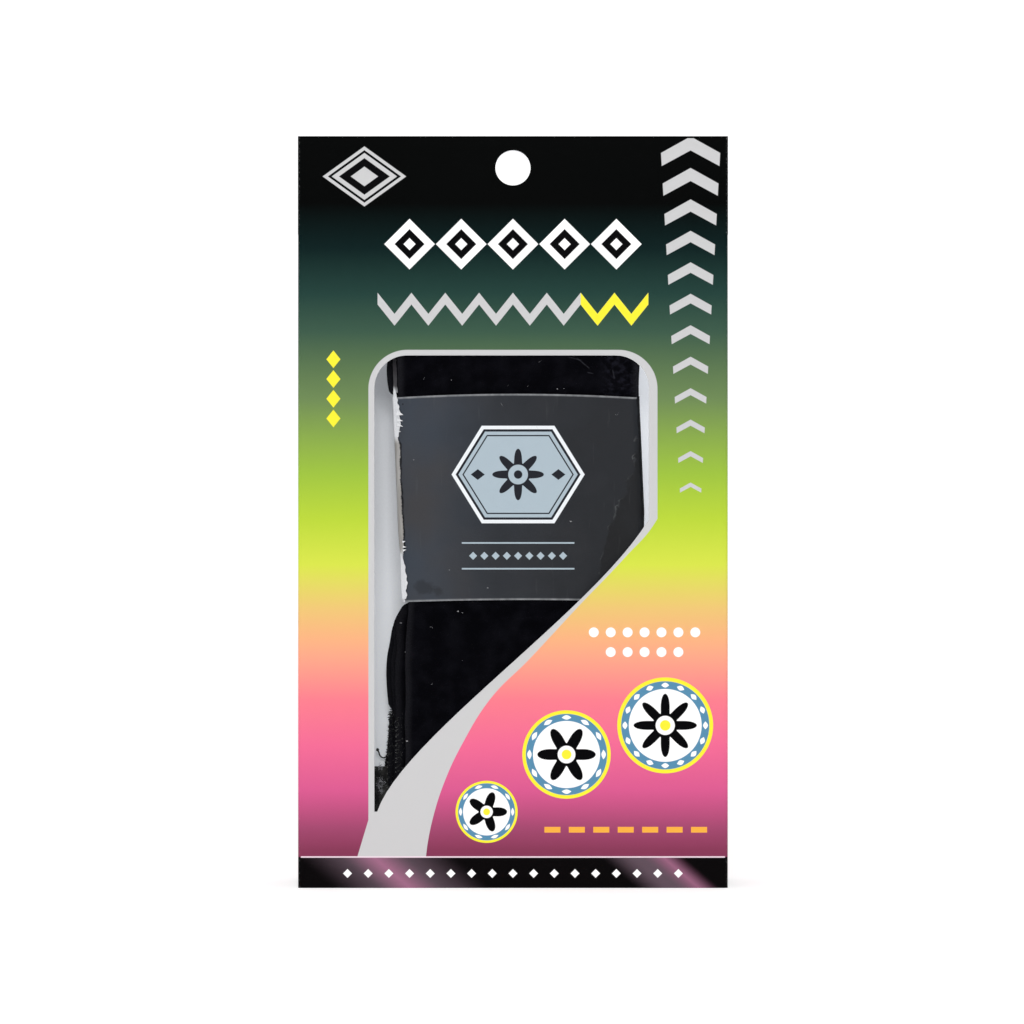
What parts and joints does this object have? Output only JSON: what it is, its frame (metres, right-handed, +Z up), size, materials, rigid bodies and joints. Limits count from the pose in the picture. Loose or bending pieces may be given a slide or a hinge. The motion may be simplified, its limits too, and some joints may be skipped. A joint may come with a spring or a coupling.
{
  "type": "wig grip band in window carton",
  "caption": "Black velvet wig grip band folded up in a paper sleeve, standing in a slim printed board carton with a slanted die-cut window and a header with a hang hole.",
  "frame": {"origin": "middle of the carton's base, on the surface it stands on", "axes": "+Z up along the carton's height, -Y out of the window side, +X to the right seen from the front"},
  "size_m": [0.0914, 0.02, 0.16],
  "materials": {
    "velvet": "short black velvet pile on elastic",
    "hook_tape": "matte woven hook tape with a fuzzy cut edge",
    "loop_tape": "matte brushed loop tape",
    "sleeve_paper": "satin printed paper, worn white along its left fold",
    "carton_board": "satin printed board, plain white inside"
  },
  "bodies": {
    "root": {"velvet_band": "velvet", "hook_tab": "hook_tape", "loop_tab": "loop_tape", "paper_sleeve": "sleeve_paper", "carton": "carton_board"}
  },
  "joints": []
}
